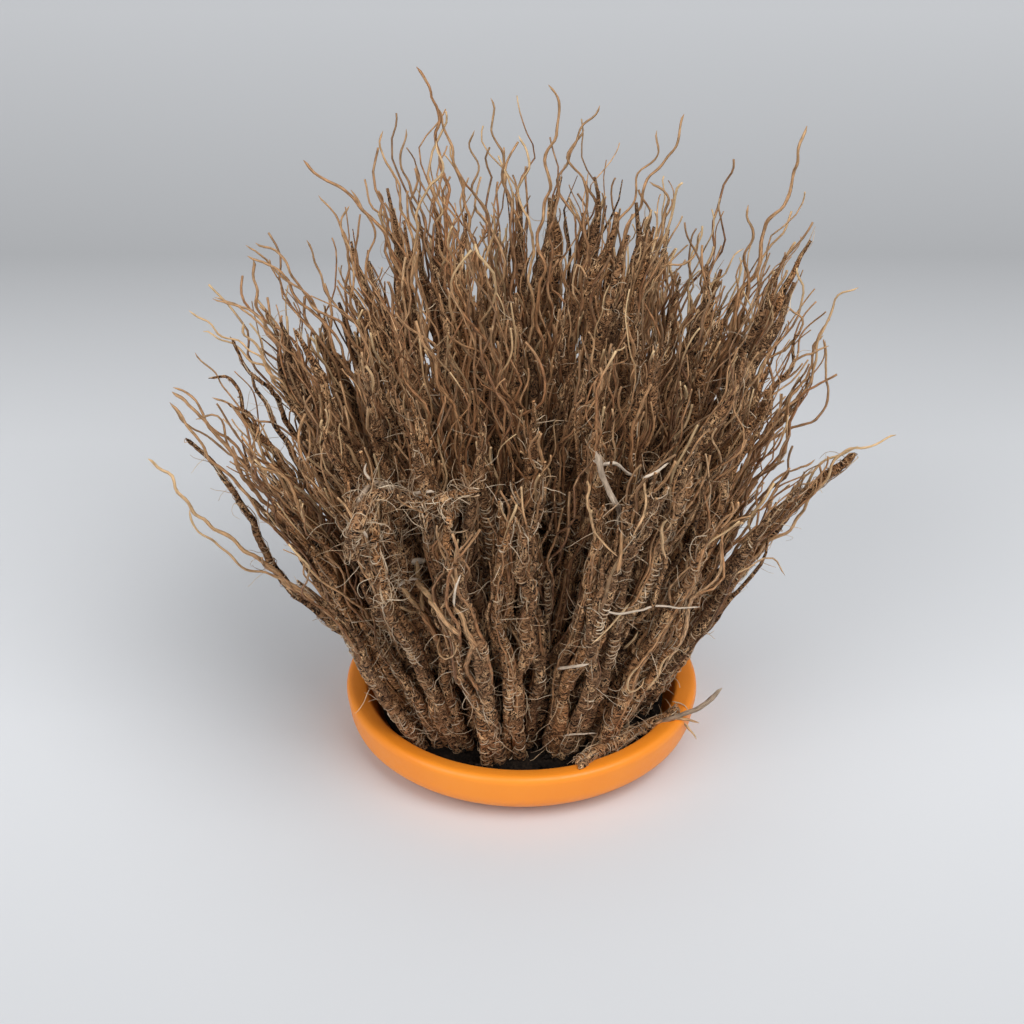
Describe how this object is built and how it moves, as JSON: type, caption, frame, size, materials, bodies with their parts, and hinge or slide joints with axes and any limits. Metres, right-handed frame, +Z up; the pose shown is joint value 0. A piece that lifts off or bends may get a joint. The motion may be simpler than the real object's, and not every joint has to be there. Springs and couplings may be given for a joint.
{
  "type": "vetiver root bundle in a saucer",
  "caption": "Upright fan of dried, matted vetiver roots standing in dry soil in a shallow orange saucer; decorative or aromatic root display.",
  "frame": {"origin": "centre of the dish's flat foot, on the surface that it stands on", "axes": "+Z up through the dish's centre; the front of the bundle faces -Y, and +X is to the right as seen from the front"},
  "size_m": [0.3392, 0.2531, 0.2698],
  "materials": {
    "dish_plastic": "smooth satin orange, softly glossy lip",
    "soil": "dry dark crumbly soil with bits of root",
    "root_fibre": "dry matted brown root fibre, rough, tan highlights",
    "pale_root": "dry frayed root, pale tan"
  },
  "bodies": {
    "root": {"dish": "dish_plastic", "soil_bed": "soil", "loose_root_piece": "pale_root", "root_lock_01": "root_fibre", "root_lock_02": "root_fibre", "root_lock_03": "root_fibre", "root_lock_04": "root_fibre", "root_lock_05": "root_fibre", "root_lock_06": "root_fibre", "root_lock_07": "root_fibre", "root_lock_08": "root_fibre", "root_lock_09": "root_fibre", "root_lock_10": "root_fibre", "root_lock_11": "root_fibre", "root_lock_12": "root_fibre", "root_lock_13": "root_fibre", "root_lock_14": "root_fibre", "root_lock_15": "root_fibre", "root_lock_16": "root_fibre", "root_lock_17": "root_fibre", "root_lock_18": "root_fibre", "root_lock_19": "root_fibre", "root_lock_20": "root_fibre", "root_lock_21": "root_fibre", "root_lock_22": "root_fibre", "root_lock_23": "root_fibre", "root_lock_24": "root_fibre", "root_lock_25": "root_fibre", "root_lock_26": "root_fibre", "root_lock_27": "root_fibre", "root_lock_28": "root_fibre", "root_lock_29": "root_fibre", "root_lock_30": "root_fibre", "root_lock_31": "root_fibre", "root_lock_32": "root_fibre", "root_lock_33": "root_fibre", "root_lock_34": "root_fibre", "root_lock_35": "root_fibre", "root_lock_36": "root_fibre", "root_lock_37": "root_fibre", "root_lock_38": "root_fibre", "root_lock_39": "root_fibre", "root_lock_40": "root_fibre", "root_lock_41": "root_fibre", "root_lock_42": "root_fibre", "root_lock_43": "root_fibre", "root_lock_44": "root_fibre", "root_lock_45": "root_fibre", "root_lock_46": "root_fibre", "root_lock_47": "root_fibre", "root_lock_48": "root_fibre", "root_lock_49": "root_fibre", "root_lock_50": "root_fibre", "root_lock_51": "root_fibre", "root_lock_52": "root_fibre", "root_lock_53": "root_fibre", "root_lock_54": "root_fibre", "root_lock_55": "root_fibre", "root_lock_56": "root_fibre", "root_lock_57": "root_fibre"}
  },
  "joints": []
}
